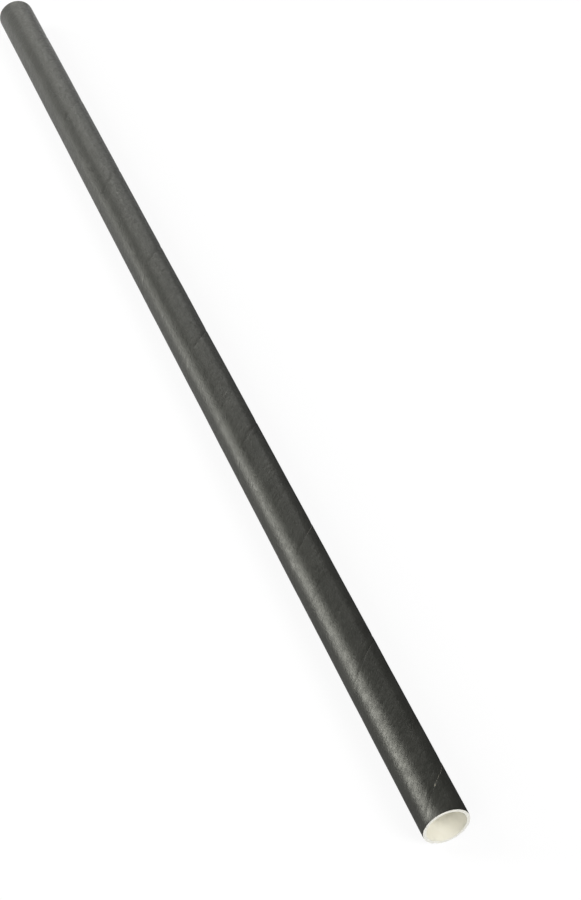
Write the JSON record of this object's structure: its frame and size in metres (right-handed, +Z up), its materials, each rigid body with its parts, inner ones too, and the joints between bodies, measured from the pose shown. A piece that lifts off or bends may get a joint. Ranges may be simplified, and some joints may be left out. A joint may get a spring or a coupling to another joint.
{
  "type": "paper drinking straw",
  "caption": "Black paper drinking straw, spirally wound from paper strips, white inside and at both square-cut ends.",
  "frame": {"origin": "middle of the straw's underside, on the plane that it lies on", "axes": "+X along the straw to its front cut end, +Z up from the surface that it lies on, +Y across the straw"},
  "size_m": [0.197, 0.0064, 0.0063],
  "materials": {
    "black_paper": "satin black print on smooth paper",
    "white_paper": "uncoated off-white paper"
  },
  "bodies": {
    "root": {"outer_ply": "black_paper", "inner_plies": "white_paper"}
  },
  "joints": []
}
